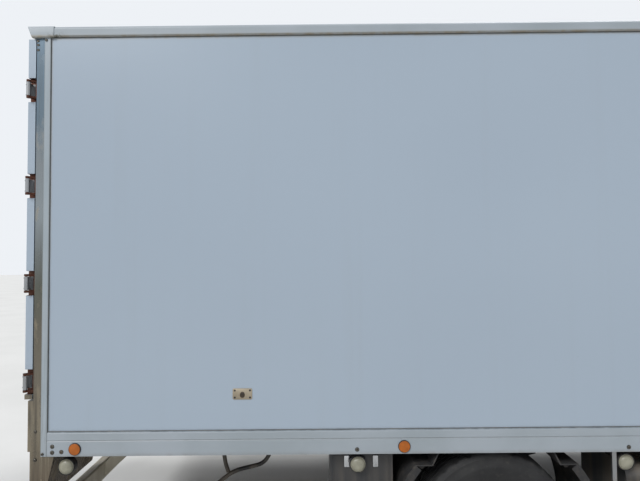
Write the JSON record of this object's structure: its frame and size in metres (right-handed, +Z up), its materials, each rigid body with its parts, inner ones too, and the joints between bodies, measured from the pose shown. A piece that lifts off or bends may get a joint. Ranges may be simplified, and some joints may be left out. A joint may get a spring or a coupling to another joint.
{
  "type": "box truck",
  "caption": "Cab-over box truck with an insulated white load box, rear double doors, tilting cab, steered front axle and twin rear wheels.",
  "frame": {"origin": "on the ground, midway between the truck's ends and its mirrors", "axes": "+X forward, +Y to the truck's left, +Z up"},
  "size_m": [7.945, 2.52, 3.0489],
  "materials": {
    "white_paint": "satin",
    "cab_paint": "gloss",
    "white_profile": "satin",
    "stainless": "brushed",
    "galvanised": "dull",
    "chassis_black": "satin",
    "cast_dark": "rough",
    "floor_wood": "worn",
    "rim_paint": "satin",
    "tyre": "matt",
    "flap_rubber": "matt",
    "tank_grey": "satin",
    "dark_plastic": "grained",
    "grey_plastic": "grained",
    "seat_fabric": "woven",
    "glass": "clear",
    "amber_lens": "gloss",
    "red_lens": "gloss",
    "clear_lens": "gloss",
    "exhaust_steel": "oxidised"
  },
  "bodies": {
    "chassis": {"chassis_frame": "chassis_black", "powertrain": "cast_dark", "drive_shaft": "chassis_black", "front_axle": "chassis_black", "rear_axle": "chassis_black", "leaf_springs": "chassis_black", "fuel_tank": "tank_grey", "battery_box": "chassis_black", "exhaust": "exhaust_steel", "tool_box": "tank_grey", "side_guards": "galvanised", "rear_mudguards": "flap_rubber", "underrun_bar": "galvanised", "tail_lamps": "red_lens", "body_subframe": "galvanised", "box_floor": "floor_wood", "box_sides": "white_paint", "box_front": "white_paint", "box_roof": "white_paint", "rear_portal": "stainless", "top_rails": "white_profile", "bottom_rails": "white_profile", "corner_trims": "white_profile", "side_reflectors": "amber_lens", "marker_lamps": "dark_plastic", "marker_domes": "clear_lens", "door_catches": "stainless", "portal_hinges": "galvanised", "front_bumper": "cab_paint", "headlamps": "clear_lens", "step_wells": "dark_plastic"},
    "tie_rod": {"tie_rod": "chassis_black"},
    "knuckle_left": {"knuckle_left": "cast_dark"},
    "knuckle_right": {"knuckle_right": "cast_dark"},
    "front_wheel_left": {"front_rim_left": "rim_paint", "front_tyre_left": "tyre"},
    "front_wheel_right": {"front_rim_right": "rim_paint", "front_tyre_right": "tyre"},
    "rear_wheels_left": {"rear_rims_left": "rim_paint", "rear_tyres_left": "tyre"},
    "rear_wheels_right": {"rear_rims_right": "rim_paint", "rear_tyres_right": "tyre"},
    "rear_door_left": {"rear_door_left": "white_paint", "lock_gear_left": "galvanised"},
    "rear_door_right": {"rear_door_right": "white_paint", "lock_gear_right": "galvanised"},
    "cab": {"cab_shell": "cab_paint", "cab_roof": "cab_paint", "cab_floor": "grey_plastic", "cab_glass": "glass", "dashboard": "grey_plastic", "seats": "seat_fabric", "mirrors": "dark_plastic", "grille": "dark_plastic", "wipers": "dark_plastic"},
    "cab_door_left": {"cab_door_left": "cab_paint", "door_glass_left": "glass"},
    "cab_door_right": {"cab_door_right": "cab_paint", "door_glass_right": "glass"},
    "steering_wheel": {"steering_wheel": "dark_plastic"}
  },
  "joints": [
    {"name": "steer_right", "type": "hinge", "parent": "chassis", "child": "knuckle_right", "pos_m": [2.7925, -0.745, 0.402], "axis": [0, 0, 1], "range_deg": [-35, 35]},
    {"name": "steer_left", "type": "hinge", "parent": "chassis", "child": "knuckle_left", "pos_m": [2.7925, 0.745, 0.402], "axis": [0, 0, 1], "range_deg": [-35, 35]},
    {"name": "tie_rod_slide", "type": "slide", "parent": "chassis", "child": "tie_rod", "axis": [0, 1, 0], "range_m": [-0.09, 0.09]},
    {"name": "steering_wheel_turn", "type": "hinge", "parent": "cab", "child": "steering_wheel", "pos_m": [3.3125, -0.52, 1.64], "axis": [-0.6157, 0, 0.788], "range_deg": [-600, 600]},
    {"name": "front_wheel_left_spin", "type": "hinge", "parent": "knuckle_left", "child": "front_wheel_left", "pos_m": [2.7925, 0.832, 0.402], "axis": [0, 1, 0], "continuous": true},
    {"name": "front_wheel_right_spin", "type": "hinge", "parent": "knuckle_right", "child": "front_wheel_right", "pos_m": [2.7925, -0.832, 0.402], "axis": [0, 1, 0], "continuous": true},
    {"name": "rear_wheels_left_spin", "type": "hinge", "parent": "chassis", "child": "rear_wheels_left", "pos_m": [-1.5045, 0.83, 0.402], "axis": [0, 1, 0], "continuous": true},
    {"name": "rear_wheels_right_spin", "type": "hinge", "parent": "chassis", "child": "rear_wheels_right", "pos_m": [-1.5045, -0.83, 0.402], "axis": [0, 1, 0], "continuous": true},
    {"name": "rear_door_left_swing", "type": "hinge", "parent": "chassis", "child": "rear_door_left", "pos_m": [-3.9105, 1.117, 1.95], "axis": [0, 0, -1], "range_deg": [0, 265]},
    {"name": "rear_door_right_swing", "type": "hinge", "parent": "chassis", "child": "rear_door_right", "pos_m": [-3.9105, -1.117, 1.95], "axis": [0, 0, 1], "range_deg": [0, 265]},
    {"name": "cab_tilt", "type": "hinge", "parent": "chassis", "child": "cab", "pos_m": [3.7975, 0, 0.64], "axis": [0, 1, 0], "range_deg": [0, 45]},
    {"name": "cab_door_left_swing", "type": "hinge", "parent": "cab", "child": "cab_door_left", "pos_m": [3.6525, 1.048, 1.06], "axis": [0, 0, -1], "range_deg": [0, 70]},
    {"name": "cab_door_right_swing", "type": "hinge", "parent": "cab", "child": "cab_door_right", "pos_m": [3.6525, -1.048, 1.06], "axis": [0, 0, 1], "range_deg": [0, 70]}
  ],
  "couplings": [
    {"joint": "steer_left", "follows": "steer_right", "ratio": 1},
    {"joint": "tie_rod_slide", "follows": "steer_right", "m_per_rad": -0.125},
    {"joint": "steering_wheel_turn", "follows": "steer_right", "ratio": 17}
  ]
}
